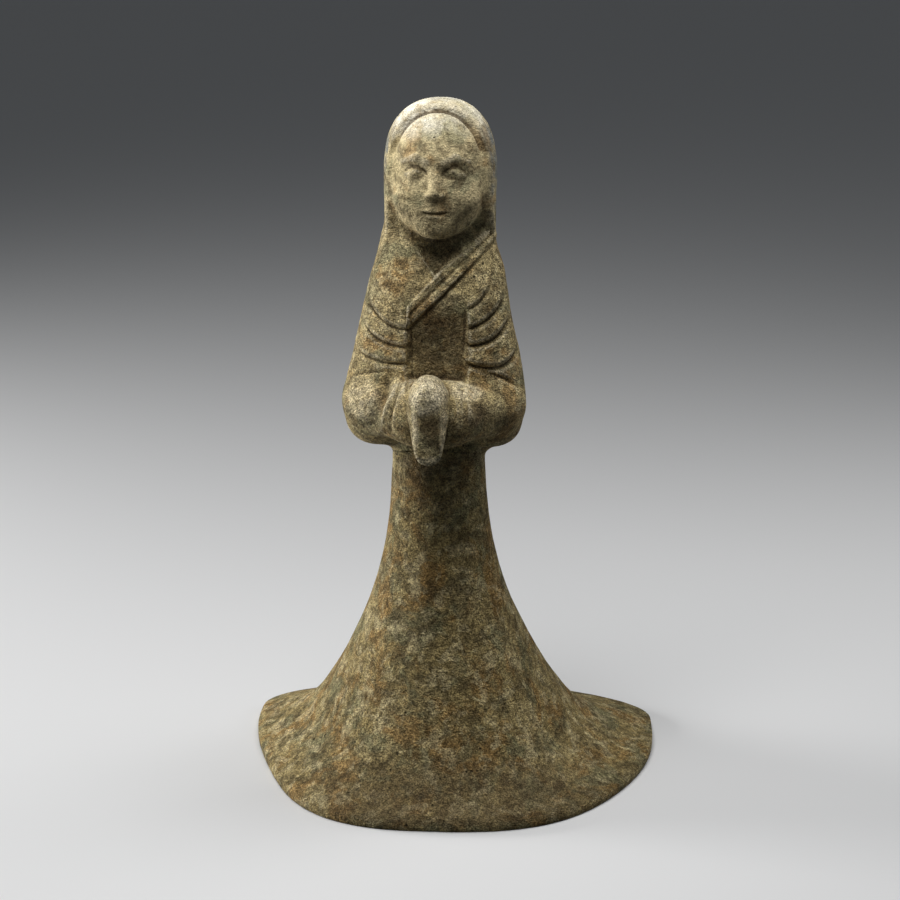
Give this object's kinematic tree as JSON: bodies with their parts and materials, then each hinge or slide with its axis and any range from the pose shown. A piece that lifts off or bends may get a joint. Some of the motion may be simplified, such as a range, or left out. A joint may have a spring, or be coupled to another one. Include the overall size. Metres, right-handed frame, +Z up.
{
  "type": "ceramic tomb figure",
  "caption": "Hollow fired-clay figure of a standing court lady with joined sleeves, crossed collar and a wide trumpet-shaped skirt that it stands on.",
  "frame": {"origin": "middle of the hem's bounding box, on the floor", "axes": "+Z up from hem to crown, -Y the way the figure faces, +X to the right of someone who looks at its face"},
  "size_m": [0.3088, 0.2714, 0.5],
  "materials": {
    "fired_clay": "matt, porous and stained with earth"
  },
  "bodies": {
    "root": {"court_lady": "fired_clay"}
  },
  "joints": []
}
